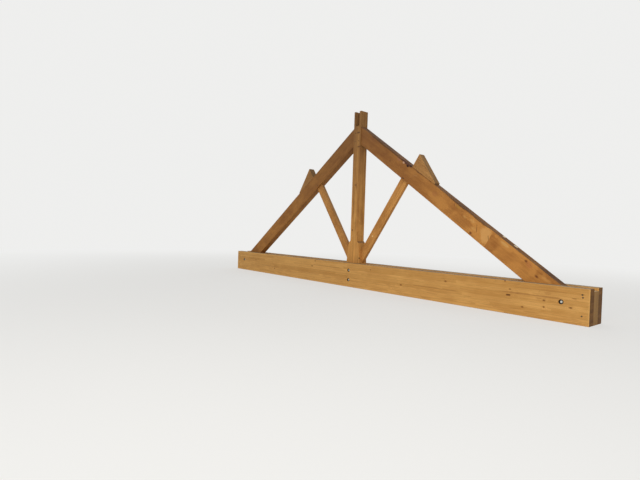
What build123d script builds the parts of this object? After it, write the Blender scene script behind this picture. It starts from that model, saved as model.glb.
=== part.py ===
from build123d import *
import os
from math import cos, radians, sin, tan

# Timber roof truss with a king post. The feet of the rafters and of the post are
# clamped and bolted between the two glued-laminated planks of the tie.
# X runs along the span, Y across the truss, Z up from the underside of the tie.

# Tie
lamella = 45.0
lamella_count = 11
tie_length = 9100.0
plank_thick = 140.0
gap = 160.0
arris = 4.0

# Blocks that close the gap at the ends of the tie
block_length = 180.0
block_drop = 40.0

# Rafters
pitch = 35.0
rafter_depth = 300.0
heel_in = 415.0
heel_gap = 15.0
foot_up = 20.0

# King post, with a fork for the ridge beam and joggles that seat the struts
post_width = 200.0
post_deep = 200.0
head_up = 255.0
fork_width = 110.0
fork_deep = 300.0
joggle_half = 196.0
joggle_lean = 7.0
joggle_up = 415.0
joggle_taper = 45.0

# Struts
strut_share = 0.3
strut_width = 175.0
strut_thick = 75.0

# Cleats that hold the purlins on the rafters
cleat_share = 0.35
cleat_length = 610.0
cleat_height = 265.0
cleat_nose = 25.0
cleat_thick = 140.0
cleat_arris = 3.0

# Mortises and tenons
tenon_thick = 60.0
head_tenon = 75.0
head_shoulder_up = 60.0
head_shoulder_low = 25.0
strut_tenon = 55.0
strut_tenon_thick = 25.0
strut_shoulder = 30.0
tenon_play = 0.5
mortise_play = 5.0

# Pegs
peg_radius = 11.0
peg_proud = 4.0
peg_play = 0.25
peg_edge = 55.0
peg_inset = 45.0

# Bolts, sunk in counterbores
bolt_radius = 10.0
bolt_play = 1.0
nut_play = 0.1
head_flats = 30.0
head_high = 12.5
nut_high = 16.0
bolt_end = 5.0
washer_radius = 30.0
washer_thick = 6.0
bore_radius = 33.0
bore_deep = 30.0
heel_bolt_in = 358.0
heel_bolt_down = 214.0
post_bolt_down = 150.0
post_bolt_step = 200.0

# Worked out from the sizes above
tie_depth = lamella * lamella_count
tie_half = tie_length / 2
truss_half = gap / 2 + plank_thick
slope = tan(radians(pitch))
run_cos = cos(radians(pitch))
run_sin = sin(radians(pitch))
rafter_run = tie_half - heel_in
apex = tie_depth + rafter_run * slope
strut_at = rafter_run * strut_share
cleat_at = rafter_run * cleat_share
lean = tan(radians(joggle_lean))
post_half = post_width / 2
post_top = apex + head_up
fork_floor = post_top - fork_deep
head_radius = head_flats / 2 / cos(radians(30))
reach = 3 * truss_half
overcut = 10.0


def rafter_top(x):
    return apex - x * slope


def rafter_under(x):
    return rafter_top(x) - rafter_depth / run_cos


def on_rafter(along, up):
    # A point measured down the top of the right rafter from the apex, and square off it
    return (along * run_cos + up * run_sin, apex - along * run_sin + up * run_cos)


def on_strut(down, across):
    # A point measured down the right strut from the rafter, and across it towards the eaves
    x = strut_at - down * run_sin + across * run_cos
    z = rafter_under(strut_at) - down * run_cos - across * run_sin
    return (x, z)


def joggle_face(z):
    # Half the width of the post at a height, between the leaning faces of its joggles
    return joggle_half - (z - tie_depth) * lean


def strut_reach(across):
    # How far down the strut the leaning face of the joggle lies
    start_x, start_z = on_strut(0, across)
    return (start_x - joggle_face(start_z)) / (run_sin + run_cos * lean)


def head_outline(play):
    # The tenon on the head of the right rafter, or its mortise with some play
    inner = post_half - head_tenon - (mortise_play if play else 0)
    outer = post_half + (overcut if play else 0)
    top = rafter_top(post_half) - head_shoulder_up + play
    low = head_shoulder_low - play
    return [(outer, top), (inner, top), (inner, rafter_under(inner) + low), (outer, rafter_under(outer) + low)]


def strut_top_outline(play):
    side = strut_width / 2 - strut_shoulder + play
    far = -strut_tenon - (mortise_play if play else 0)
    near = overcut if play else 0
    return [on_strut(near, -side), on_strut(far, -side), on_strut(far, side), on_strut(near, side)]


def strut_foot_outline(play):
    side = strut_width / 2 - strut_shoulder + play
    far = strut_tenon + (mortise_play if play else 0)
    near = -overcut if play else 0
    return [
        on_strut(strut_reach(-side) + near, -side),
        on_strut(strut_reach(-side) + far, -side),
        on_strut(strut_reach(side) + far, side),
        on_strut(strut_reach(side) + near, side),
    ]


def mirrored(points):
    return [(-x, z) for x, z in points]


# Places of the pegs and bolts, as X and Z, each with the half thickness that it passes
head_pegs = [
    (post_half - peg_inset, rafter_top(post_half) - head_shoulder_up - peg_edge),
    (post_half - peg_inset, rafter_under(post_half) + head_shoulder_low + peg_edge),
]
strut_top_peg = on_strut(-strut_tenon / 2, 0)
heel_bolt = (tie_half - heel_bolt_in, tie_depth - heel_bolt_down)
post_bolts = [(0, tie_depth - post_bolt_down), (0, tie_depth - post_bolt_down - post_bolt_step)]
tie_bolts = [heel_bolt, (-heel_bolt[0], heel_bolt[1])] + post_bolts


def save(builder, name):
    builder.part.label = name
    export_step(builder.part, f"parts/{name}.step")


def save_pair(builder, name):
    # The right-hand piece as it is made, and the left-hand one as its mirror image
    save(builder, f"{name}_right")
    with BuildPart() as left:
        mirror(builder.part, about=Plane.YZ)
    save(left, f"{name}_left")


os.makedirs("parts", exist_ok=True)


# Tie planks
for place, side in (("front", -1), ("back", 1)):
    with BuildPart() as tie_plank:
        with Locations((0, side * (gap + plank_thick) / 2, tie_depth / 2)):
            Box(tie_length, plank_thick, tie_depth)
        chamfer(tie_plank.edges().filter_by(Axis.X), arris)
        with Locations(*[Plane(origin=(x, side * truss_half, z), z_dir=(0, side, 0)) for x, z in tie_bolts]):
            CounterBoreHole(bolt_radius + bolt_play, bore_radius, bore_deep, plank_thick)
    save(tie_plank, f"tie_plank_{place}")

# End blocks
with BuildPart() as end_block:
    with Locations((tie_half - block_length / 2, 0, (tie_depth - block_drop) / 2)):
        Box(block_length, gap, tie_depth - block_drop)
    chamfer(end_block.edges().filter_by(Axis.Z).group_by(Axis.X)[0], arris)
save_pair(end_block, "end_block")

# Rafters
with BuildPart() as rafter:
    heel_x = tie_half - block_length - heel_gap
    with BuildSketch(Plane.XZ):
        with BuildLine():
            Polyline(
                (post_half, rafter_top(post_half)),
                (tie_half, rafter_top(tie_half)),
                (tie_half, rafter_under(tie_half)),
                (post_half, rafter_under(post_half)),
                close=True,
            )
        make_face()
        with Locations(((post_half + heel_x) / 2, (foot_up + apex) / 2)):
            Rectangle(heel_x - post_half, apex - foot_up, mode=Mode.INTERSECT)
    extrude(amount=gap / 2, both=True)
    chamfer(rafter.edges().filter_by(Axis((0, 0, 0), (run_cos, 0, -run_sin))), arris)
    with BuildSketch(Plane.XZ):
        Polygon(*head_outline(0), align=None)
    extrude(amount=tenon_thick / 2, both=True)
    with BuildSketch(Plane.XZ):
        Polygon(*strut_top_outline(tenon_play), align=None)
    extrude(amount=strut_tenon_thick / 2 + tenon_play, both=True, mode=Mode.SUBTRACT)
    with BuildSketch(Plane.XZ):
        with Locations(*head_pegs, strut_top_peg):
            Circle(peg_radius + peg_play)
        with Locations(heel_bolt):
            Circle(bolt_radius + bolt_play)
    extrude(amount=reach, both=True, mode=Mode.SUBTRACT)
save_pair(rafter, "rafter")

# King post
seat_high = on_strut(strut_reach(-strut_width / 2), -strut_width / 2)
seat_low = on_strut(strut_reach(strut_width / 2), strut_width / 2)
post_side = [
    (post_half, post_top),
    (post_half, tie_depth + joggle_up + joggle_taper),
    (joggle_face(tie_depth + joggle_up), tie_depth + joggle_up),
    seat_low,
    (seat_low[0], foot_up),
]
with BuildPart() as king_post:
    with BuildSketch(Plane.XZ):
        with BuildLine():
            Polyline(*post_side, *reversed(mirrored(post_side)), close=True)
        make_face()
    extrude(amount=post_deep / 2, both=True)
    chamfer(king_post.edges().filter_by(Axis.Z), arris)
    # Between the planks the post is housed down to the gap, so that its shoulders sit on them
    cheek = (post_deep - gap) / 2
    with BuildSketch(Plane.XY):
        with Locations((0, -(gap + cheek) / 2), (0, (gap + cheek) / 2)):
            Rectangle(2 * reach, cheek)
    extrude(amount=tie_depth, mode=Mode.SUBTRACT)
    with BuildSketch(Plane.XZ):
        with Locations((0, (fork_floor + post_top + overcut) / 2)):
            Rectangle(fork_width, fork_deep + overcut)
    extrude(amount=reach, both=True, mode=Mode.SUBTRACT)
    with BuildSketch(Plane.XZ):
        Polygon(*head_outline(tenon_play), align=None)
        Polygon(*mirrored(head_outline(tenon_play)), align=None)
    extrude(amount=tenon_thick / 2 + tenon_play, both=True, mode=Mode.SUBTRACT)
    with BuildSketch(Plane.XZ):
        Polygon(*strut_foot_outline(tenon_play), align=None)
        Polygon(*mirrored(strut_foot_outline(tenon_play)), align=None)
    extrude(amount=strut_tenon_thick / 2 + tenon_play, both=True, mode=Mode.SUBTRACT)
    with BuildSketch(Plane.XZ):
        with Locations(*head_pegs, *mirrored(head_pegs)):
            Circle(peg_radius + peg_play)
        with Locations(*post_bolts):
            Circle(bolt_radius + bolt_play)
    extrude(amount=reach, both=True, mode=Mode.SUBTRACT)
save(king_post, "king_post")

# Struts
with BuildPart() as strut:
    side = strut_width / 2
    with BuildSketch(Plane.XZ):
        with BuildLine():
            Polyline(on_strut(0, -side), seat_high, seat_low, on_strut(0, side), close=True)
        make_face()
    extrude(amount=strut_thick / 2, both=True)
    chamfer(strut.edges().filter_by(Axis((0, 0, 0), (run_sin, 0, run_cos))), arris)
    with BuildSketch(Plane.XZ):
        Polygon(*strut_top_outline(0), align=None)
        Polygon(*strut_foot_outline(0), align=None)
    extrude(amount=strut_tenon_thick / 2, both=True)
    with BuildSketch(Plane.XZ):
        with Locations(strut_top_peg):
            Circle(peg_radius + peg_play)
    extrude(amount=reach, both=True, mode=Mode.SUBTRACT)
save_pair(strut, "strut")

# Purlin cleats
with BuildPart() as purlin_cleat:
    uphill = cleat_at / run_cos
    downhill = uphill + cleat_length
    with BuildSketch(Plane.XZ):
        with BuildLine():
            Polyline(
                on_rafter(uphill, 0),
                on_rafter(uphill, cleat_height),
                on_rafter(downhill, cleat_nose),
                on_rafter(downhill, 0),
                close=True,
            )
        make_face()
    extrude(amount=cleat_thick / 2, both=True)
    fall = (cleat_height - cleat_nose) / cleat_length
    long_edge = Axis((0, 0, 0), (run_cos - fall * run_sin, 0, -run_sin - fall * run_cos))
    chamfer(purlin_cleat.edges().filter_by(long_edge), cleat_arris)
save_pair(purlin_cleat, "purlin_cleat")


def make_peg(place, half_thick, name):
    with BuildPart() as peg:
        with BuildSketch(Plane.XZ):
            with Locations(place):
                Circle(peg_radius)
        extrude(amount=half_thick + peg_proud, both=True)
    save_pair(peg, name)


make_peg(head_pegs[0], post_deep / 2, "rafter_peg_upper")
make_peg(head_pegs[1], post_deep / 2, "rafter_peg_lower")
make_peg(strut_top_peg, gap / 2, "strut_peg")


def make_bolt(place, name):
    x, z = place
    seat = truss_half - bore_deep
    bearing = seat + washer_thick
    with BuildPart() as bolt:
        with BuildSketch(Plane((x, -bearing, z), z_dir=(0, 1, 0))):
            Circle(bolt_radius)
        extrude(amount=2 * bearing + nut_high + bolt_end)
        with BuildSketch(Plane((x, -bearing, z), z_dir=(0, -1, 0))):
            RegularPolygon(head_radius, 6)
        extrude(amount=head_high)
    save(bolt, f"{name}_bolt")
    for end, side in (("front", -1), ("back", 1)):
        with BuildPart() as washer:
            with BuildSketch(Plane((x, side * seat, z), z_dir=(0, side, 0))):
                Circle(washer_radius)
                Circle(bolt_radius + bolt_play, mode=Mode.SUBTRACT)
            extrude(amount=washer_thick)
        save(washer, f"{name}_washer_{end}")
    with BuildPart() as nut:
        with BuildSketch(Plane((x, bearing, z), z_dir=(0, 1, 0))):
            RegularPolygon(head_radius, 6)
            Circle(bolt_radius + nut_play, mode=Mode.SUBTRACT)
        extrude(amount=nut_high)
    save(nut, f"{name}_nut")


for place, name in zip(tie_bolts, ("heel_right", "heel_left", "post_upper", "post_lower")):
    make_bolt(place, name)
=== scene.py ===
import random
import bmesh
import bpy
from math import cos, pi, radians, sin, tan
from mathutils import Matrix, Vector


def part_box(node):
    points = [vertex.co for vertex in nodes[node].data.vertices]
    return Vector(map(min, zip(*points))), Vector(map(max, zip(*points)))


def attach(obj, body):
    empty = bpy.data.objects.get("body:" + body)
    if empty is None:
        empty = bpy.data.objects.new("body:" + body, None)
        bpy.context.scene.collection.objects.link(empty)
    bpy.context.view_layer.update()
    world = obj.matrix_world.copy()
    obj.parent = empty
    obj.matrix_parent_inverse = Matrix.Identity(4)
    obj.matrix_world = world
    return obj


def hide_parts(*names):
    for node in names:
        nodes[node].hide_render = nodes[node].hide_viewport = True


# A timber roof truss. X runs along the span, Y through the truss, Z up from the underside of the tie.

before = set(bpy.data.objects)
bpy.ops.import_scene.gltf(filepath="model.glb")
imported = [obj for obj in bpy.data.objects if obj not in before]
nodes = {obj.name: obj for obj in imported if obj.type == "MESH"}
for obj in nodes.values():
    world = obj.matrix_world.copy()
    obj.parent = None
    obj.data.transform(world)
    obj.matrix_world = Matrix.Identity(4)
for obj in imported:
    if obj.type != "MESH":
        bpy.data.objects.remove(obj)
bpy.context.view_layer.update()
print("frame loaded:", len(nodes), "pieces")

pitchAngle = radians(35)
downSlope = Vector((cos(pitchAngle), 0, -sin(pitchAngle)))      # down the right rafter
offSlope = Vector((sin(pitchAngle), 0, cos(pitchAngle)))        # square off the top of the right rafter
alongX = Vector((1, 0, 0))
throughY = Vector((0, 1, 0))
upZ = Vector((0, 0, 1))


def colour(red, green, blue):
    # a colour as it is seen, 0 to 255, turned into the renderer's linear one
    def linear(value):
        value = value / 255
        return value / 12.92 if value < 0.04045 else ((value + 0.055) / 1.055) ** 2.4
    return (linear(red), linear(green), linear(blue), 1)


class Wire:
    # a socket that can be used in sums; each sum adds its Math nodes
    def __init__(self, finish, socket):
        self.finish = finish
        self.socket = socket

    def maths(self, operation, first, second=0.0):
        return self.finish.add("ShaderNodeMath", {"operation": operation}, {0: first, 1: second})

    def __add__(self, other):
        return self.maths("ADD", self, other)

    def __radd__(self, other):
        return self.maths("ADD", other, self)

    def __sub__(self, other):
        return self.maths("SUBTRACT", self, other)

    def __rsub__(self, other):
        return self.maths("SUBTRACT", other, self)

    def __mul__(self, other):
        return self.maths("MULTIPLY", self, other)

    def __rmul__(self, other):
        return self.maths("MULTIPLY", other, self)

    def __truediv__(self, other):
        return self.maths("DIVIDE", self, other)

    def __rtruediv__(self, other):
        return self.maths("DIVIDE", other, self)

    def __abs__(self):
        return self.maths("ABSOLUTE", self)

    def least(self, other):
        return self.maths("MINIMUM", self, other)

    def most(self, other):
        return self.maths("MAXIMUM", self, other)

    def floor(self):
        return self.maths("FLOOR", self)

    def fraction(self):
        return self.maths("FRACT", self)

    def root(self):
        return self.maths("SQRT", self)

    def bounce(self, height):
        return self.maths("PINGPONG", self, height)

    def rise(self, low, high):
        # 0 below low, 1 above high, and smooth between them; low may be the larger one
        flip = low > high
        span = {1: high, 2: low, 3: 1.0, 4: 0.0} if flip else {1: low, 2: high, 3: 0.0, 4: 1.0}
        return self.finish.add(
            "ShaderNodeMapRange", {"interpolation_type": "SMOOTHSTEP"}, {0: self, **span})


class Finish:
    # one material and the nodes that make it; the world's nodes are made the same way
    def __init__(self, name, world=None):
        self.material = world or bpy.data.materials.new(name)
        self.material.use_nodes = True
        self.tree = self.material.node_tree
        self.shader = next(n for n in self.tree.nodes if n.type in ("BSDF_PRINCIPLED", "BACKGROUND"))

    def add(self, kind, settings=None, values=None, result=0):
        # any node: its type, its settings, then the values or links of its sockets
        node = self.tree.nodes.new(kind)
        for name, value in (settings or {}).items():
            setattr(node, name, value)
        for name, value in (values or {}).items():
            self.feed(node.inputs[name], value)
        return Wire(self, node.outputs[result])

    def feed(self, socket, value):
        if isinstance(value, Wire):
            self.tree.links.new(value.socket, socket)
        else:
            socket.default_value = value

    def place(self):
        return self.add("ShaderNodeTexCoord", result="Object")

    def seen(self):
        # 1 where the camera looks, by itself or through a shine
        looks = [self.add("ShaderNodeLightPath", result=f"Is {kind} Ray")
                 for kind in ("Camera", "Glossy", "Transmission")]
        return looks[0].most(looks[1]).most(looks[2])

    def along(self, place, direction, start=0.0):
        # how far a point lies along a direction
        dot = self.add(
            "ShaderNodeVectorMath", {"operation": "DOT_PRODUCT"}, {0: place, 1: direction}, "Value")
        return dot - start if start else dot

    def vector(self, x, y, z):
        return self.add("ShaderNodeCombineXYZ", None, {0: x, 1: y, 2: z})

    def drawnOut(self, a, b, c, lengthwise, crosswise):
        # a place for noise that is drawn out along the grain
        return self.vector(a * lengthwise, b * crosswise, c * crosswise)

    def cloud(self, place, scale, detail=3.0, rough=0.5, warp=0.0):
        # noise from 0 to 1
        return self.add("ShaderNodeTexNoise", {"noise_dimensions": "3D"}, {
            "Vector": place, "Scale": scale, "Detail": detail, "Roughness": rough, "Distortion": warp})

    def chance(self, value):
        # a steady random number for each whole number
        return self.add("ShaderNodeTexWhiteNoise", {"noise_dimensions": "1D"}, {"W": value})

    def mix(self, factor, first, second):
        return self.add("ShaderNodeMix", {"data_type": "RGBA", "blend_type": "MIX", "clamp_factor": True},
                        {0: factor, 6: first, 7: second}, 2)

    def paint(self, base, roughness, height=None, depth=0.001, strength=1.0, metallic=0.0):
        self.feed(self.shader.inputs["Base Color"], base)
        self.feed(self.shader.inputs["Roughness"], roughness)
        self.feed(self.shader.inputs["Metallic"], metallic)
        if height is not None:
            bump = self.add(
                "ShaderNodeBump", None, {"Strength": strength, "Distance": depth, "Height": height})
            self.feed(self.shader.inputs["Normal"], bump)


def reach(dx, dz, dy=None):
    # the length of a step from a point
    square = dx * dx + dz * dz if dy is None else dx * dx + dy * dy + dz * dz
    return square.root()


def ovalReach(a, b, along, across, long, high):
    # how far off the middle of an oval mark a point lies; 1 is on its rim
    return reach((a - along) / long, (b - across) / high)


# What each kind of timber looks like. Sizes are in metres, and shares go from 0 to 1.
# Each look also says how much darker its wood is painted the higher it stands, as painted shade, towards its
# weathered colour, which also greys the tops
timberLooks = {
    "glulam": {
        "pale": colour(226, 174, 100), "dark": colour(184, 130, 62), "late": colour(160, 104, 48),
        "knot": colour(70, 40, 20), "heart": colour(126, 74, 36), "weatherAndShade": colour(176, 162, 134),
        "ends": colour(120, 80, 34), "endLate": colour(88, 57, 24),
        "ringWidth": 0.0042, "lateShare": 0.34, "streak": 0.24, "cloud": 0.24, "figure": 0.1,
        "knotSize": 0.013, "knotScale": 3.2, "checks": 0.25, "greyTop": 0.7, "wane": 0.0, "paintedShadeHigh": 0.0,
    },
    "rafter": {
        "pale": colour(206, 143, 71), "dark": colour(155, 97, 42), "late": colour(130, 77, 32),
        "knot": colour(70, 40, 20), "heart": colour(122, 68, 36), "weatherAndShade": colour(80, 56, 40),
        "ends": colour(118, 86, 50), "endLate": colour(88, 58, 30),
        "ringWidth": 0.0048, "lateShare": 0.3, "streak": 0.22, "cloud": 0.42, "figure": 0.3,
        "knotSize": 0.016, "knotScale": 2.6, "checks": 0.4, "greyTop": 0.9, "wane": 0.035, "paintedShadeHigh": 0.58,
    },
    "post": {
        "pale": colour(224, 163, 87), "dark": colour(158, 102, 46), "late": colour(118, 76, 36),
        "knot": colour(62, 38, 20), "heart": colour(118, 70, 36), "weatherAndShade": colour(86, 66, 48),
        "ends": colour(150, 108, 64), "endLate": colour(108, 74, 42),
        "ringWidth": 0.0045, "lateShare": 0.55, "streak": 0.85, "cloud": 0.35, "figure": 0.2,
        "knotSize": 0.015, "knotScale": 2.9, "checks": 1.0, "greyTop": 0.3, "wane": 0.0, "paintedShadeHigh": 0.62,
    },
    "strut": {
        "pale": colour(221, 158, 84), "dark": colour(167, 109, 50), "late": colour(122, 78, 36),
        "knot": colour(66, 40, 20), "heart": colour(118, 70, 36), "weatherAndShade": colour(140, 120, 90),
        "ends": colour(134, 102, 66), "endLate": colour(96, 66, 36),
        "ringWidth": 0.0045, "lateShare": 0.38, "streak": 0.4, "cloud": 0.45, "figure": 0.3,
        "knotSize": 0.014, "knotScale": 2.9, "checks": 0.6, "greyTop": 0.5, "wane": 0.0, "paintedShadeHigh": 0.2,
    },
    "cleat": {
        "pale": colour(202, 149, 86), "dark": colour(154, 102, 50), "late": colour(122, 78, 36),
        "knot": colour(80, 48, 26), "heart": colour(122, 74, 40), "weatherAndShade": colour(108, 92, 68),
        "ends": colour(154, 116, 70), "endLate": colour(112, 76, 42),
        "ringWidth": 0.0046, "lateShare": 0.4, "streak": 0.4, "cloud": 0.45, "figure": 0.4,
        "knotSize": 0.014, "knotScale": 3.2, "checks": 0.5, "greyTop": 0.75, "wane": 0.0, "paintedShadeHigh": 0.3,
    },
    "block": {
        "pale": colour(174, 132, 76), "dark": colour(134, 94, 50), "late": colour(104, 70, 36),
        "knot": colour(80, 50, 26), "heart": colour(112, 70, 38), "weatherAndShade": colour(228, 208, 170),
        "ends": colour(226, 204, 166), "endLate": colour(188, 156, 112),
        "ringWidth": 0.0038, "lateShare": 0.45, "streak": 0.45, "cloud": 0.3, "figure": 0.1,
        "knotSize": 0.011, "knotScale": 3.6, "checks": 0.3, "greyTop": 0.5, "wane": 0.0, "paintedShadeHigh": 0.0,
    },
}

# Painted shade: the timbers of the left half are painted darker, as if they stood in shade
leftShade = {"rafter": 0.74, "strut": 0.85, "cleat": 0.8}

# What all the timbers share
timber = {
    "boardLength": 2.7,                             # of a glued layer, from one finger joint to the next
    "fingerHalf": 0.003, "fingerLong": 0.02, "fingerGap": 0.0016,
    "checkStrip": 0.043, "checkWide": 0.0016,       # each strip of a face may have one drying check
    "spokes": 9, "spokeWide": 0.0007,               # checks out from the heart, on the end grain
    "wornEdge": 0.013, "endWearAndHighlight": 0.018,
    "shadeFrom": 0.9, "shadeTo": 3.9,                   # the heights between which the painted shade darkens the wood
    "waneFade": (3.75, 3.5),                        # along a rafter, where its wavy wane ends
    # hole is the painted shade inside a counterbore, and the crushed wood round a screw
    "crack": colour(40, 25, 14), "hole": colour(46, 30, 18), "holeRim": 0.002,
    "bumpDepth": 0.0009, "bumpStrength": 0.8, "shine": 0.22,
}


def lookFor(kind, side):
    look = dict(timberLooks[kind])
    # the left half's pale, dark and end colours are darkened: painted shade
    if side < 0:
        for part in ("pale", "dark", "ends"):
            look[part] = (*(value * leftShade[kind] for value in look[part][:3]), 1)
    return look


def timberFinish(name, look, grain, across, centre, halfWidth, halfThick, pith, seed, marks=None,
                 lamella=0.0, halfLength=0.0, bores=(), sides=()):
    # grain runs along the timber and across lies over its wide face; centre is a point on its middle line.
    # pith is where the heart of the tree lies, measured across and through from the middle line.
    # sides are the planes of a timber that isn't square, for the wear of its edges.
    # marks are placed along and across from the middle line, with half sizes:
    #   knots: along, across, long, high
    #   patches: along, across, long, high, strength, and where along it is cut off sharply, or 0
    #   stains: along, across, long, high, strength, shade, and where it is cut off, if it is
    #   scratches: first point, last point, width, shade
    #   chips: along, across, through, long, high, shade
    #   wane: along, long, deep
    #   clear: from and to; in that stretch of the front only the named knots show
    marks = marks or {}
    finish = Finish(name)
    place = finish.place()
    # how far a point lies along the timber, across it and through it
    a = finish.along(place, grain, centre.dot(grain))
    b = finish.along(place, across, centre.dot(across))
    c = finish.along(place, throughY, centre.y)
    normal = finish.add("ShaderNodeNewGeometry", result="Normal")
    upward = finish.along(normal, upZ)
    onFront = finish.along(normal, -throughY).rise(0.3, 0.6)
    onEnd = abs(finish.along(normal, grain)).rise(0.55, 0.8)

    # where the point lay in the log that its wood came from: glued layers are boards from many logs,
    # cut to lengths that are joined by fingers
    if lamella:
        layer = (b + halfWidth) / lamella
        layerNumber = layer.floor()
        boards = a / timber["boardLength"] + finish.chance(layerNumber + seed) * 7.3
        boardNumber = boards.floor() + layerNumber * 31.7 + seed
        luck = finish.chance(boardNumber + 0.5)
        luckier = finish.chance(boardNumber * 1.7 + 3.1)
        a2 = a + luck * 9.0
        b2 = (layer.fraction() - 0.5) * lamella + (luck - 0.5) * 0.05
        c2 = c + (luckier - 0.5) * 0.16 + 0.02
    else:
        a2, b2, c2 = a + seed * 1.37, b - pith[0], c - pith[1]

    # slow bends of the grain, and a fine raggedness for the rims of things
    slow = finish.drawnOut(a2, b2, c2, 0.55, 3.0)
    sway = finish.cloud(slow, 1.0, 2.0) - 0.5
    swayToo = finish.cloud(slow, 1.9, 1.0) - 0.5
    rag = finish.cloud(finish.drawnOut(a2, b2, c2, 22, 34), 1.0, 3.0, 0.6) - 0.5

    # knots: small ones all through, and named ones on the front
    knotSize = look["knotSize"]
    knotPlace = finish.vector(a * 0.8 + sway * 0.12 + seed * 1.7, b + swayToo * 0.05, c + sway * 0.05)
    cells = finish.add("ShaderNodeTexVoronoi", {"feature": "F1", "voronoi_dimensions": "3D"}, {
        "Vector": knotPlace, "Scale": look["knotScale"], "Randomness": 1.0}, "Distance")
    cellReach = cells / look["knotScale"] + rag * 0.006
    if "clear" in marks:
        low, high = marks["clear"]
        cellReach = cellReach + a.rise(low, low + 0.05) * a.rise(high, high - 0.05) * onFront
    swirl = cellReach.rise(0.07, 0.008)
    knotMask = cellReach.rise(knotSize, knotSize * 0.7)
    knotRim = cellReach.rise(knotSize * 1.7, knotSize * 0.9)
    knotRings = cellReach / knotSize
    for knot in marks.get("knots", ()):
        near = ovalReach(a, b, *knot) + rag * 0.55
        knotMask = knotMask.most(near.rise(1.05, 0.7) * onFront)
        knotRim = knotRim.most(near.rise(2.0, 0.95) * onFront)
        swirl = swirl.most(near.rise(4.0, 0.6) * onFront)

    # growth rings about the heart of the tree
    bending = b2 + sway * 0.022 + swirl * 0.006
    through = c2 + swayToo * 0.022
    ringReach = reach(bending, through)
    wander = finish.cloud(finish.drawnOut(a2, b2, c2, 0.8, 9), 1.0, 2.0) * 2.2
    rings = ringReach / look["ringWidth"] + wander + swirl * 2.6
    ring = rings.fraction()
    late = ring.rise(0.35, 0.86) * ring.rise(1.0, 0.93)
    yearLuck = finish.chance(rings.floor() + seed * 3)

    # fibres, streaks and clouds
    fibre = finish.cloud(finish.drawnOut(a2, b2, c2, 6, 420), 1.0, 3.0, 0.6)
    streak = finish.cloud(finish.drawnOut(a2, b2, c2, 0.7, 26), 1.0, 4.0, 0.6)
    blotch = finish.cloud(finish.drawnOut(a, b, c, 1.7, 3.2), 1.0, 4.0, 0.6, 0.4).rise(0.36, 0.68)
    figure = finish.cloud(finish.drawnOut(a, b, c, 5.0, 7.5), 1.0, 4.0, 0.55, 0.6).rise(0.34, 0.68)

    # drying checks: straight along the faces, each in a strip of its own
    strips = (b + c * 0.83) / timber["checkStrip"] + sway * 0.5
    stripLuck = finish.chance(strips.floor() * 1.3 + seed)
    fromCheck = abs(strips.fraction() - 0.3 - stripLuck * 0.4) * timber["checkStrip"]
    checkPlace = finish.vector(a * 0.9 + stripLuck * 13.0, stripLuck * 37.0, seed)
    openness = finish.cloud(checkPlace, 1.0, 1.0).rise(0.55, 0.7)
    check = openness * look["checks"] * timber["checkWide"] - fromCheck + rag * 0.0006
    check = check.rise(-0.0002, 0.0005) * openness.rise(0.02, 0.12) * (1 - onEnd)
    if not lamella:
        # and out from the heart on the end grain
        spokes = bending.maths("ARCTAN2", bending, through) * (timber["spokes"] / (2 * pi)) + sway * 0.3
        spokeLuck = finish.chance(spokes.floor() + seed * 7)
        fromSpoke = abs(spokes.fraction() - 0.5) * ringReach * (2 * pi / timber["spokes"])
        spoke = (timber["spokeWide"] - fromSpoke).rise(-0.0004, 0.0004) * spokeLuck.rise(0.45, 0.55)
        check = check.most(spoke * onEnd * ringReach.rise(0.14, 0.1))

    # how near the long edges and the ends are, for the wear of the edges and the pale band along the ends,
    # which is partly wear and partly painted highlight
    edge = abs(halfWidth - abs(b))
    for sideNormal, sidePoint in sides:
        edge = edge.least(abs(finish.along(place, sideNormal, sidePoint.dot(sideNormal))))
    edge = edge.most(halfThick - abs(c)) + (fibre - 0.5) * 0.004 + (streak - 0.5) * 0.008
    wearAndHighlight = edge.rise(timber["wornEdge"], 0.001)
    # along each end the faces are painted pale: a painted highlight of the lit end edge, with its wear
    if halfLength:
        fromEnd = halfLength - abs(a) + rag * 0.006
        wearAndHighlight = wearAndHighlight.most(fromEnd.rise(timber["endWearAndHighlight"], 0.011) * (1 - onEnd) * 1.7)

    # the colour of clean wood, from pale to dark
    tone = (streak.rise(0.3, 0.7) - 0.3) * look["streak"] + blotch * look["cloud"]
    tone = tone + (yearLuck - 0.5) * 0.18 + (figure - 0.4) * look["figure"] + (fibre - 0.5) * 0.25
    if lamella:
        tone = tone + (luck - 0.5) * 0.5 + 0.1
    for *patch, strength, cut in marks.get("patches", ()):
        shape = (ovalReach(a, b, *patch) + (figure - 0.5) * 0.5 + sway).rise(1.15, 0.7)
        if cut:
            shape = shape * (a + b * 0.08 + rag * 0.012 - cut).rise(0.006, -0.006)
        tone = tone - shape * strength
    base = finish.mix(tone, look["pale"], look["dark"])
    base = finish.mix(late * look["lateShare"], base, look["late"])
    # pale wear along the edges, with the painted highlight along the ends
    base = finish.mix(wearAndHighlight * 0.45, base, look["pale"])
    base = finish.mix(knotRim * 0.5, base, look["late"])
    heartRings = (knotRings * 3.5).fraction().rise(0.2, 0.9) * 0.5 + rag
    base = finish.mix(knotMask * 0.85, base, finish.mix(heartRings, look["heart"], look["knot"]))

    for along, over, long, high, strength, shade, *cut in marks.get("stains", ()):
        shape = (ovalReach(a, b, along, over, long, high) + (figure - 0.5) * 0.6 + rag * 0.4).rise(1.2, 0.5)
        for end in cut:
            shape = shape * (a + b * 0.08 + rag * 0.012 - end).rise(0.004, -0.004)
        base = finish.mix(shape * strength * onFront, base, shade)

    # Painted shade: the higher a point stands, the darker its wood is painted, as light that falls off
    # towards the top
    paintedShadeHigh = finish.along(place, upZ).rise(timber["shadeFrom"], timber["shadeTo"]) * look["paintedShadeHigh"]
    base = finish.mix(paintedShadeHigh, base, look["weatherAndShade"])

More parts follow.
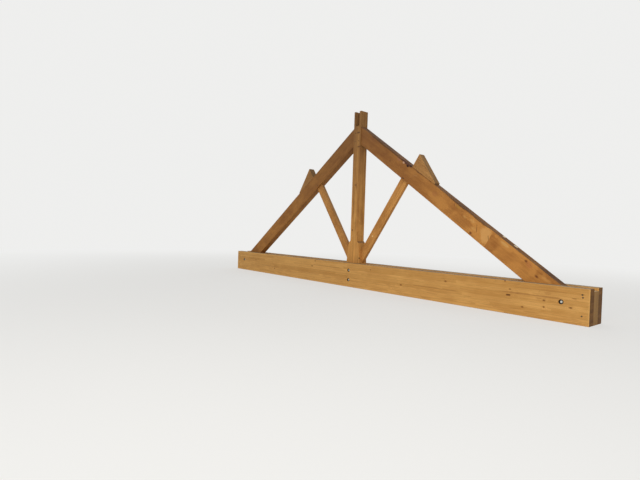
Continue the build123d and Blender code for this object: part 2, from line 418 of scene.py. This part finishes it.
    # weather has greyed the top, and the wane along its front edge; on the rafter, whose top colour is dark,
    # the top is partly painted shade as well
    top = upward.rise(0.2, 0.7) * (0.6 + blotch * 0.4) * look["greyTop"]
    if look["wane"]:
        wavy = finish.cloud(finish.vector(a * 2.3, seed, 0.0), 1.0, 3.0).rise(0.42, 0.75)
        deep = wavy * look["wane"] * a.rise(*timber["waneFade"])
        for along, long, most in marks.get("wane", ()):
            deep = deep.most((abs(a - along) + rag * 0.1).rise(long, long * 0.4) * most)
        grey = (halfWidth - b + (figure - 0.5) * 0.012 + rag * 0.012 - deep).rise(0.006, -0.006)
        top = top.most(grey * (1 - upward.rise(0.2, 0.7)) * 0.75)
    base = finish.mix(top, base, look["weatherAndShade"])

    # chips, dents and holes go in at an edge, so they show on both of its faces
    for along, over, inward, long, high, shade in marks.get("chips", ()):
        near = reach((a - along) / long, (b - over) / high, (c - inward) / high) + rag * 0.4
        base = finish.mix(near.rise(1.15, 0.75), base, shade)

    # a scratch is straight from one point to another
    scratched = 0.0
    for first, last, width, shade in marks.get("scratches", ()):
        run = Vector((last[0] - first[0], last[1] - first[1]))
        share = ((a - first[0]) * run.x + (b - first[1]) * run.y) / run.length_squared
        share = share.most(0.0).least(1.0)
        near = reach(a - first[0] - share * run.x, b - first[1] - share * run.y) + rag * width
        scratch = near.rise(width, width * 0.3) * onFront
        base = finish.mix(scratch * 0.75, base, shade)
        scratched = scratched + scratch

    # sawn end grain, with the saw's marks
    saw = finish.cloud(finish.vector(a * 3, b * 300, c * 22), 1.0, 2.0)
    endTone = finish.mix(late * 0.6 + saw * 0.35, look["ends"], look["endLate"])
    if lamella:
        endTone = finish.mix((luck - 0.4) * 0.35, endTone, look["dark"])
    # the end grain takes the painted shade towards the top too
    endTone = finish.mix(paintedShadeHigh * 1.2, endTone, look["weatherAndShade"])
    base = finish.mix(onEnd, base, endTone)

    base = finish.mix(check * 0.92, base, timber["crack"])
    height = late * 0.35 + fibre * 0.35 + knotMask * 0.5 + onEnd * saw * 0.6 - check * 3.0 - scratched * 0.5
    rough = 0.66 + fibre * 0.14 - late * 0.08 + top * 0.12

    if lamella:
        # glue lines, darker here and there, and finger joints
        glue = abs(layer.fraction() - 0.5).rise(0.472, 0.492)
        gluePlace = finish.vector(a * 0.9, (layer + 0.5).floor() * 5.1, seed)
        dirty = finish.cloud(gluePlace, 1.0, 2.0).rise(0.42, 0.62)
        fingers = (b.bounce(timber["fingerHalf"]) / timber["fingerHalf"] - 0.5) * timber["fingerLong"]
        joint = abs((boards.fraction() - 0.5) * timber["boardLength"] + fingers)
        joint = joint.rise(timber["fingerGap"], 0.0006) * (1 - onEnd)
        lines = (glue * (0.45 + dirty * 0.55)).most(joint * 0.7)
        base = finish.mix(lines * 0.7, base, look["knot"])
        height = height - lines * 0.5

    # Painted shade: the counterbores are painted dark inside, as the shade in them; the wood that each screw
    # has crushed is painted dark as well
    for boreX, boreZ, radius in bores:
        inside = reach(finish.along(place, alongX, boreX), finish.along(place, upZ, boreZ))
        inside = inside.rise(radius + timber["holeRim"], radius - 0.001)
        base = finish.mix(inside * 0.92, base, timber["hole"])
    finish.paint(base, rough, height, timber["bumpDepth"], timber["bumpStrength"])
    finish.shader.inputs["Specular IOR Level"].default_value = timber["shine"]
    return finish.material


def dress(name, material):
    for slot in nodes[name].material_slots:
        slot.material = material


# Tie. Screws hold its end blocks, and its bores are the counterbores of the bolts, painted dark inside as
# painted shade: X, Z and radius.
screwPlaces = [(4.456, 0.410), (4.463, 0.374), (4.457, 0.126)]
tie = {
    "lamella": 0.045, "depth": 0.495, "gap": 0.16, "thick": 0.14, "length": 9.1, "seeds": (11.0, 47.0),
    "bores": [(4.192, 0.281, 0.033), (-4.192, 0.281, 0.033), (0, 0.345, 0.033), (0, 0.145, 0.033)],
    "screwDirt": 0.011,                             # radius of the crushed wood round a screw
    "marks": {
        "clear": (3.1, 4.7),
        "knots": [
            (3.428, 0.032, 0.016, 0.011), (3.458, 0.033, 0.020, 0.011), (3.469, 0.122, 0.014, 0.008),
            (3.662, -0.115, 0.016, 0.010), (3.965, 0.022, 0.015, 0.011), (3.965, -0.071, 0.013, 0.010),
            (4.319, -0.030, 0.020, 0.009), (3.388, 0.238, 0.012, 0.014),
            (2.35, 0.12, 0.020, 0.012), (1.4, -0.05, 0.018, 0.012), (-1.2, 0.09, 0.020, 0.012),
            (0.62, 0.16, 0.015, 0.010), (-2.7, -0.10, 0.018, 0.011), (-3.6, 0.06, 0.016, 0.010),
        ],
        "stains": [
            (3.429, 0.030, 0.016, 0.009, 1.0, colour(46, 28, 16)),
            (3.459, 0.034, 0.016, 0.009, 1.0, colour(46, 28, 16)),
            (3.66, 0.077, 0.62, 0.012, 0.5, colour(140, 84, 38)),
            (3.9, 0.043, 0.05, 0.008, 0.5, colour(146, 92, 44)),
            (4.01, 0.13, 0.05, 0.02, 0.25, colour(150, 96, 48)),
            (4.362, 0.098, 0.034, 0.008, 0.5, colour(140, 86, 42)),
            (2.1, -0.02, 0.5, 0.012, 0.35, colour(146, 92, 44)),
            (-0.8, 0.12, 0.6, 0.014, 0.35, colour(146, 92, 44)),
            (-3.0, -0.05, 0.5, 0.012, 0.35, colour(146, 92, 44)),
        ],
        "patches": [(3.9, 0.16, 0.9, 0.075, -0.22, 0), (4.1, -0.06, 0.5, 0.06, 0.2, 0)],
    },
}
for place, side, seed in (("front", -1, tie["seeds"][0]), ("back", 1, tie["seeds"][1])):
    middle = Vector((0, side * (tie["gap"] + tie["thick"]) / 2, tie["depth"] / 2))
    screwDirt = [(end * x, z, tie["screwDirt"]) for x, z in screwPlaces for end in (-1, 1)]
    dress(f"tie_plank_{place}", timberFinish(
        f"glulam_{place}", timberLooks["glulam"], alongX, upZ, middle,
        tie["depth"] / 2, tie["thick"] / 2, (0, 0), seed, tie["marks"] if side < 0 else None,
        lamella=tie["lamella"], halfLength=tie["length"] / 2, bores=tie["bores"] + screwDirt))
print("tie dressed")

# Rafters, struts, cleats and end blocks: the right-hand one as it lies, and its mirror image.
# Only the right-hand ones have marks. Places along a rafter are from the apex.
rafter = {
    "apex": 3.39036, "depth": 0.3, "thick": 0.16, "pith": (-0.21, 0.13),
    "marks": {
        "clear": (0.3, 5.4),
        "knots": [
            (4.461, 0.103, 0.020, 0.014), (4.715, 0.022, 0.024, 0.014), (3.470, -0.111, 0.020, 0.016),
            (1.233, -0.028, 0.013, 0.011), (1.688, -0.128, 0.014, 0.012),
            (1.672, 0.112, 0.020, 0.016), (1.735, 0.138, 0.026, 0.013),
        ],
        "patches": [
            # the patch at 0.5, which darkens the upper rafter, is painted shade
            (3.66, 0.02, 0.24, 0.17, 0.6, 3.79), (3.30, 0.09, 0.16, 0.07, 0.45, 0),
            (3.87, 0.0, 0.11, 0.2, -0.5, 0), (0.5, 0.0, 1.9, 0.6, -0.32, 0), (4.30, 0.12, 0.5, 0.045, 0.4, 0),
            (4.85, 0.0, 0.2, 0.12, 0.4, 0), (2.70, -0.02, 0.3, 0.07, 0.3, 0), (1.98, 0.1, 0.3, 0.06, 0.2, 0),
        ],
        "stains": [
            (3.71, 0.03, 0.11, 0.12, 0.6, colour(224, 172, 104), 3.79),
            (3.36, 0.07, 0.07, 0.03, 0.5, colour(220, 168, 98)),
            (3.22, 0.04, 0.06, 0.03, 0.45, colour(218, 166, 96)),
            (3.47, -0.02, 0.06, 0.03, 0.4, colour(216, 164, 94)),
            (4.05, 0.10, 0.07, 0.02, 0.5, colour(224, 176, 104)),
            (4.86, 0.07, 0.12, 0.04, 0.4, colour(222, 166, 92)),
            (1.650, 0.140, 0.16, 0.034, 0.9, colour(84, 48, 28)),
            (0.566, 0.106, 0.10, 0.045, 0.4, colour(150, 84, 50)),
            (1.405, 0.105, 0.05, 0.028, 0.55, colour(192, 128, 96)),
            (1.556, 0.113, 0.03, 0.018, 0.8, colour(206, 170, 138)),
            (4.522, 0.085, 0.055, 0.05, 0.45, colour(176, 106, 62)),
            (3.010, 0.094, 0.045, 0.028, 0.4, colour(168, 130, 48)),
            (2.50, 0.03, 0.06, 0.05, 0.3, colour(164, 98, 60)),
        ],
        "scratches": [
            ((3.488, 0.062), (3.545, -0.03), 0.008, colour(118, 72, 34)),
            ((3.748, 0.038), (3.785, -0.004), 0.009, colour(108, 66, 32)),
            ((2.925, 0.105), (2.950, 0.078), 0.008, colour(112, 68, 34)),
            ((1.885, 0.022), (1.965, 0.075), 0.006, colour(176, 130, 84)),
            ((0.54, 0.04), (0.62, 0.085), 0.006, colour(160, 112, 68)),
        ],
        "chips": [
            (3.919, 0.15, 0.044, 0.030, 0.022, colour(255, 236, 198)),      # fresh wood on the top
            (4.164, 0.15, 0.026, 0.036, 0.024, colour(255, 236, 198)),
            (1.61, 0.15, -0.08, 0.13, 0.034, colour(92, 58, 44)),           # a bruise above the cleat
            (1.668, 0.108, -0.08, 0.034, 0.018, colour(48, 24, 14)),        # with holes in it
            (1.735, 0.15, -0.062, 0.038, 0.026, colour(44, 24, 14)),
            (1.548, 0.112, -0.08, 0.024, 0.018, colour(204, 160, 130)),
        ],
        "wane": [(3.2, 0.55, 0.020), (1.1, 0.9, 0.026)],
    },
}
strut = {
    "at": 1.2405, "width": 0.175, "thick": 0.075, "pith": (0.12, 0.09),
    "marks": {"chips": [(1.33, -0.007, -0.0375, 0.015, 0.013, colour(250, 214, 160))]},
}
cleat = {
    "up": 1.76676, "length": 0.61, "height": 0.265, "nose": 0.025, "thick": 0.14, "pith": (0.2, 0.05),
}
block = {"pith": (0.1, 0.16)}
post = {
    "width": 0.2, "deep": 0.2, "middle": 1.8, "pith": (0.03, 0.05), "seed": 38.0,
    "marks": {
        "patches": [(-1.2, 0.0, 0.8, 0.3, 0.3, 0)],
        "knots": [
            (1.406, 0.038, 0.010, 0.040), (1.113, 0.066, 0.009, 0.038),
            (0.32, 0.01, 0.020, 0.014), (-0.62, -0.045, 0.018, 0.012),
        ],
        "stains": [
            (-0.1, 0.005, 0.75, 0.016, 0.5, colour(224, 172, 98)),
            (-0.3, 0.045, 0.5, 0.010, 0.4, colour(220, 168, 94)),
            (0.2, -0.055, 0.6, 0.012, 0.4, colour(142, 96, 48)),
            (-0.8, 0.02, 0.25, 0.03, 0.4, colour(222, 168, 94)),
            (-0.75, -0.03, 0.02, 0.012, 0.6, colour(232, 186, 120)),
        ],
    },
}


def flipped(vector, side):
    return Vector((vector.x * side, vector.y, vector.z))


for place, side, seed in (("right", 1, 3.0), ("left", -1, 23.0)):
    down = flipped(downSlope, side)
    off = flipped(offSlope, side)
    ridge = Vector((0, 0, rafter["apex"]))
    pith = rafter["pith"]
    dress(f"rafter_{place}", timberFinish(
        f"rafter_timber_{place}", lookFor("rafter", side), down, off, ridge - off * rafter["depth"] / 2,
        rafter["depth"] / 2, rafter["thick"] / 2, (pith[0] * side, pith[1]), seed,
        rafter["marks"] if side > 0 else None))

    underside = rafter["apex"] - strut["at"] * tan(pitchAngle) - rafter["depth"] / cos(pitchAngle)
    pith = strut["pith"]
    dress(f"strut_{place}", timberFinish(
        f"strut_timber_{place}", lookFor("strut", side), -off, down,
        Vector((side * strut["at"], 0, underside)), strut["width"] / 2, strut["thick"] / 2,
        (pith[0], pith[1] * side), seed + 5, strut["marks"] if side > 0 else None))

    tail = (down * (cleat["height"] - cleat["nose"]) + off * cleat["length"]).normalized()
    uphill = ridge + down * cleat["up"]
    dress(f"purlin_cleat_{place}", timberFinish(
        f"cleat_timber_{place}", lookFor("cleat", side), down, off, uphill + off * cleat["height"] / 2,
        cleat["height"] / 2, cleat["thick"] / 2, cleat["pith"], seed + 9,
        sides=[(down, uphill), (tail, uphill + off * cleat["height"])]))

    low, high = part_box(f"end_block_{place}")
    pith = block["pith"]
    dress(f"end_block_{place}", timberFinish(
        f"block_timber_{place}", timberLooks["block"], upZ, alongX, (low + high) / 2,
        (high.x - low.x) / 2, (high.y - low.y) / 2, (pith[0] * side, pith[1]), seed + 13))
dress("king_post", timberFinish(
    "post_timber", timberLooks["post"], upZ, alongX, Vector((0, 0, post["middle"])),
    post["width"] / 2, post["deep"] / 2, post["pith"], post["seed"], post["marks"]))
print("timbers dressed")


# Zinc-plated steel, with dull patches and a little dirt
def steelFinish(name, bright, dull):
    finish = Finish(name)
    place = finish.place()
    patches = finish.cloud(place, 190, 3.0, 0.6).rise(0.35, 0.7)
    grime = finish.cloud(place, 60, 4.0, 0.65).rise(0.5, 0.75)
    scratches = finish.cloud(finish.vector(
        finish.along(place, alongX) * 2600, finish.along(place, throughY) * 2600,
        finish.along(place, upZ) * 300), 1.0, 2.0)
    base = finish.mix(patches * 0.7, bright, dull)
    base = finish.mix(grime * 0.45, base, colour(88, 74, 58))
    rough = 0.3 + patches * 0.16 + grime * 0.25
    finish.paint(base, rough, scratches + patches, 0.00012, 0.5, metallic=1.0 - grime * 0.35)
    return finish.material


def pegFinish(name, dark, light):
    finish = Finish(name)
    place = finish.place()
    through = finish.along(place, throughY)
    normal = finish.add("ShaderNodeNewGeometry", result="Normal")
    ends = abs(finish.along(normal, throughY)).rise(0.4, 0.8)
    pores = finish.cloud(place, 900, 2.0, 0.6).rise(0.45, 0.62)
    streaks = finish.cloud(finish.vector(
        finish.along(place, alongX) * 500, through * 14, finish.along(place, upZ) * 500), 1.0, 3.0)
    base = finish.mix(streaks * 0.6 + pores * 0.3, light, dark)
    base = finish.mix(ends * 0.6, base, colour(58, 38, 22))
    finish.paint(base, 0.6 + pores * 0.2, streaks - pores * 0.5, 0.0004, 0.7)
    return finish.material


steel = steelFinish("zinc_plated_steel", colour(226, 224, 214), colour(182, 178, 166))
# the washers sit down in the counterbores, and their dark steel is painted shade; the screw heads are dark
# steel too
darkSteel = steelFinish("dark_steel", colour(92, 84, 74), colour(58, 50, 42))
pegWood = pegFinish("peg_oak", colour(74, 48, 26), colour(112, 76, 42))
for name in nodes:
    if "washer" in name:
        dress(name, darkSteel)
print("steel and pegs finished")


def loft(name, rings, material, capStart=True, capEnd=True):
    # rings of points, each joined to the next one; the ends are closed with a fan
    mesh = bpy.data.meshes.new(name)
    build = bmesh.new()
    rows = [[build.verts.new(point) for point in ring] for ring in rings]
    count = len(rows[0])
    for first, second in zip(rows, rows[1:]):
        for i in range(count):
            j = (i + 1) % count
            build.faces.new((first[i], first[j], second[j], second[i]))
    for row, wanted in ((rows[0], capStart), (rows[-1], capEnd)):
        if wanted:
            middle = build.verts.new(sum((v.co for v in row), Vector()) / count)
            for i in range(count):
                build.faces.new((row[i], row[(i + 1) % count], middle))
    bmesh.ops.recalc_face_normals(build, faces=build.faces)
    build.to_mesh(mesh)
    build.free()
    for face in mesh.polygons:
        face.use_smooth = True
    mesh.set_sharp_from_angle(angle=radians(32))
    piece = bpy.data.objects.new(name, mesh)
    bpy.context.scene.collection.objects.link(piece)
    mesh.materials.append(material)
    return piece


def settle(piece, slot, *stands):
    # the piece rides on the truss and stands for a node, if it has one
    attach(piece, "root")
    if stands:
        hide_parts(*stands)


# Bolts and nuts
bolt = {
    "radius": 0.010, "flats": 0.030, "headHigh": 0.0125, "nutHigh": 0.016, "endHigh": 0.005, "sides": 60,
    "seat": 0.196,                                                  # from the middle out to a washer's face
    "chamfer": (0.86, 0.9, 0.94, 0.97, 1.0), "chamferSlope": 0.58,  # as shares of the corners' reach
    "dimple": 0.55, "under": 0.9, "underHigh": 0.0006,
    "threadPitch": 0.0025, "threadDeep": 0.0012, "threadLong": 0.034, "threadFade": 0.004, "turnSteps": 5,
    "tipLong": 0.0022, "tipSlope": 0.8, "nutPlay": 0.0001, "nutRound": 0.0012,
    # X, Z, and how far each was turned when it was tightened, in degrees
    "places": {
        "heel_right": (4.192, 0.281, 11), "heel_left": (-4.192, 0.281, 37),
        "post_upper": (0, 0.345, 4), "post_lower": (0, 0.145, 23),
    },
}
corner = bolt["flats"] / 2 / cos(pi / 6)


def hexRadius(angle):
    # from the middle of the hexagon to its side
    return bolt["flats"] / 2 / cos((angle % (pi / 3)) - pi / 6)


def chamferedHex(cone):
    return lambda angle: min(hexRadius(angle), cone)


def boltRing(x, z, y, radius, turn=0.0):
    points = []
    for i in range(bolt["sides"]):
        angle = 2 * pi * i / bolt["sides"]
        out = radius(angle) if callable(radius) else radius
        points.append((x + out * cos(angle + turn), y, z + out * sin(angle + turn)))
    return points


def chamferRings(x, z, face, inward, turn):
    # from the face of a head or nut out to its full hexagon; inward is 1 or -1, the way that it widens
    rings = []
    for share in bolt["chamfer"]:
        y = face + inward * (share - bolt["chamfer"][0]) * corner * bolt["chamferSlope"]
        rings.append(boltRing(x, z, y, chamferedHex(corner * share), turn))
    return rings


def threadRings(x, z, start, end):
    # one ring every fifth of a turn; the thread fades in at its start and tapers at the tip
    rings = []
    steps = int(bolt["threadLong"] / bolt["threadPitch"] * bolt["turnSteps"])
    for i in range(1, steps + 1):
        y = start + bolt["threadLong"] * i / steps
        fade = min(1, (y - start) / bolt["threadFade"])
        tip = max(0, (y - (end - bolt["tipLong"]))) * bolt["tipSlope"]

        def thread(angle, y=y, fade=fade, tip=tip):
            phase = (y / bolt["threadPitch"] - angle / (2 * pi)) % 1
            return bolt["radius"] - bolt["threadDeep"] * fade * (1 - abs(2 * phase - 1)) - tip
        rings.append(boltRing(x, z, y, thread))
    return rings


for name, (x, z, degrees) in bolt["places"].items():
    turn = radians(degrees)
    seat = bolt["seat"]
    face = -seat - bolt["headHigh"]
    end = seat + bolt["nutHigh"] + bolt["endHigh"]
    start = end - bolt["threadLong"]
    shank = [boltRing(x, z, face, corner * bolt["dimple"], turn)]
    shank += chamferRings(x, z, face, 1, turn)
    shank += [boltRing(x, z, -seat - bolt["underHigh"], hexRadius, turn),
              boltRing(x, z, -seat, chamferedHex(corner * bolt["under"]), turn),
              boltRing(x, z, -seat, bolt["radius"]), boltRing(x, z, start, bolt["radius"])]
    shank += threadRings(x, z, start, end)
    settle(loft(f"{name}_bolt_shown", shank, steel), "zinc_steel", f"{name}_bolt")

    outer = seat + bolt["nutHigh"]
    inner = bolt["radius"] + bolt["nutPlay"]
    nut = [boltRing(x, z, seat, inner, turn)]
    nut += chamferRings(x, z, seat, 1, turn) + chamferRings(x, z, outer, -1, turn)[::-1]
    nut += [boltRing(x, z, outer, inner + bolt["nutRound"], turn),
            boltRing(x, z, outer - bolt["nutRound"], inner, turn), boltRing(x, z, seat, inner, turn)]
    settle(loft(f"{name}_nut_shown", nut, steel, False, False), "zinc_steel", f"{name}_nut")
print("bolts made")

# Pegs: split and shaved by hand, so they are not quite round
peg = {
    "radius": 0.011, "sides": 28, "facets": 8, "shaved": 0.06, "seed": 5,
    # how far back from an end, and how wide there
    "endShape": [(0.0, 0.45), (0.0004, 0.78), (0.0014, 0.93), (0.003, 1.0)],
}
luckyPegs = random.Random(peg["seed"])
for name in sorted(n for n in nodes if "_peg" in n):
    low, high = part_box(name)
    middle = (low + high) / 2
    half = (high.y - low.y) / 2
    angles = [2 * pi * i / peg["sides"] for i in range(peg["sides"])]
    shave = [1 - peg["shaved"] * luckyPegs.random() * (0.5 + 0.5 * cos(peg["facets"] * angle))
             for angle in angles]
    rings = []
    for sign in (-1, 1):
        for back, share in peg["endShape"][::-sign]:
            y = middle.y + sign * (half - back)
            rings.append([(middle.x + peg["radius"] * share * thin * cos(angle), y,
                           middle.z + peg["radius"] * share * thin * sin(angle))
                          for angle, thin in zip(angles, shave)])
    settle(loft(f"{name}_shown", rings, pegWood), "peg_wood", name)
print("pegs made")

# Screws that hold the end blocks, with a star recess
screw = {
    "radius": 0.009, "sides": 48, "starPoints": 6, "star": 0.0040, "starDeep": 0.16,
    # how wide and how far out each ring is, as shares of the radius and of the head's height
    "high": 0.0006, "dome": [(1.0, 0.0), (0.99, 0.35), (0.9, 0.75), (0.74, 1.0)],
    "root": (0.9, -0.0006), "floor": (0.97, 0.00005),
}


def screwHead(name, centre, outward, upright):
    sideways = upright.cross(outward)

    def ring(out, radius):
        points = []
        for i in range(screw["sides"]):
            angle = 2 * pi * i / screw["sides"]
            far = radius(angle) if callable(radius) else radius
            points.append(centre + outward * out + (sideways * cos(angle) + upright * sin(angle)) * far)
        return points

    def star(angle):
        return screw["star"] * (1 - screw["starDeep"] * cos(screw["starPoints"] * angle))

    rings = [ring(screw["root"][1], screw["radius"] * screw["root"][0])]
    rings += [ring(screw["high"] * up, screw["radius"] * share) for share, up in screw["dome"]]
    rings += [ring(screw["high"], star),
              ring(screw["floor"][1], lambda angle: star(angle) * screw["floor"][0])]
    settle(loft(name, rings, darkSteel), "zinc_steel")


for place, side in (("right", 1), ("left", -1)):
    for number, (x, z) in enumerate(screwPlaces):
        for face, out in (("front", -1), ("back", 1)):
            centre = Vector((side * x, out * (tie["gap"] / 2 + tie["thick"]), z))
            screwHead(f"block_screw_{place}_{face}_{number}", centre, throughY * out, upZ)
print("screws made")

# Floor, backdrop light and lamps
stageLook = {
    "floor": colour(238, 236, 231), "floorRough": 0.85, "floorHalf": 90, "floorDrop": 0.001,
    "backdrop": (0.86, 0.86, 0.85, 1), "skyLight": 0.48,
    "near": 0.62, "fadeFrom": 3.0, "fadeTo": 15.0,      # the backdrop's share of the floor, from near to far
    # place, target, size, power and tint
    "lamps": {
        "key": ((6.8, -8.2, 4.4), (2.4, 0, 0.8), 5.5, 366, (1.0, 0.97, 0.92)),
        "fill": ((-8.0, -7.0, 5.0), (-0.5, 0, 1.5), 7, 100, (0.95, 0.97, 1.0)),
        "back": ((-3.5, 10.5, 6.0), (0, 0, 1.2), 8, 270, (0.98, 0.98, 1.0)),
    },
}
half, level = stageLook["floorHalf"], -stageLook["floorDrop"]
floorMesh = bpy.data.meshes.new("floor")
corners = [(-half, -half, level), (half, -half, level), (half, half, level), (-half, half, level)]
floorMesh.from_pydata(corners, [], [(0, 1, 2, 3)])
floor = bpy.data.objects.new("floor", floorMesh)
bpy.context.scene.collection.objects.link(floor)
floorFinish = Finish("pale_floor")
floorFinish.paint(stageLook["floor"], stageLook["floorRough"])
# what the eye sees of the floor is paler than its light makes it, and far off it is the backdrop
away = floorFinish.add("ShaderNodeVectorMath", {"operation": "LENGTH"}, {0: floorFinish.place()}, "Value")
faded = away.rise(stageLook["fadeFrom"], stageLook["fadeTo"]) * (1 - stageLook["near"]) + stageLook["near"]
glow = floorFinish.add("ShaderNodeEmission", None, {"Color": stageLook["backdrop"], "Strength": 1.0})
shown = floorFinish.add("ShaderNodeMixShader", None, {
    0: faded * floorFinish.seen(), 1: Wire(floorFinish, floorFinish.shader.outputs[0]), 2: glow})
output = next(n for n in floorFinish.tree.nodes if n.type == "OUTPUT_MATERIAL")
floorFinish.feed(output.inputs["Surface"], shown)
floorMesh.materials.append(floorFinish.material)

# the backdrop is full strength to the eye, and gives less light than that
studio = Finish("studio", bpy.data.worlds.new("studio"))
bpy.context.scene.world = studio.material
studio.feed(studio.shader.inputs["Color"], stageLook["backdrop"])
strength = studio.seen() * (1 - stageLook["skyLight"]) + stageLook["skyLight"]
studio.feed(studio.shader.inputs["Strength"], strength)

for name, (place, target, size, power, tint) in stageLook["lamps"].items():
    light = bpy.data.lights.new(name, "AREA")
    light.shape = "SQUARE"
    light.size = size
    light.energy = power
    light.color = tint
    lamp = bpy.data.objects.new(name, light)
    lamp.location = place
    lamp.rotation_euler = (Vector(target) - Vector(place)).to_track_quat("-Z", "Y").to_euler()
    bpy.context.scene.collection.objects.link(lamp)

# Camera, at the viewpoint solved for the picture; focal is in pixels of its width
view = {
    "place": (6.732, -6.689, 1.151), "yaw": 40.104, "pitch": 1.2209, "roll": 1.8172,
    "focal": 449.17, "width": 640, "sensor": 36,
}
yaw, pitch, roll = (radians(view[k]) for k in ("yaw", "pitch", "roll"))
right = Vector((sin(yaw), cos(yaw), 0))
ahead = Vector((-cos(yaw), sin(yaw), 0))
aim = cos(pitch) * ahead - sin(pitch) * upZ
drop = -cos(pitch) * upZ - sin(pitch) * ahead
sideward = cos(roll) * right - sin(roll) * drop
downward = sin(roll) * right + cos(roll) * drop
cameraData = bpy.data.cameras.new("camera")
cameraData.lens = view["focal"] / view["width"] * view["sensor"]
cameraData.sensor_width = view["sensor"]
camera = bpy.data.objects.new("camera", cameraData)
turned = Matrix((sideward, -downward, -aim)).transposed().to_4x4()
camera.matrix_world = Matrix.Translation(view["place"]) @ turned
bpy.context.scene.collection.objects.link(camera)
bpy.context.scene.camera = camera
bpy.context.scene.view_settings.view_transform = "Standard"
print("stage set")
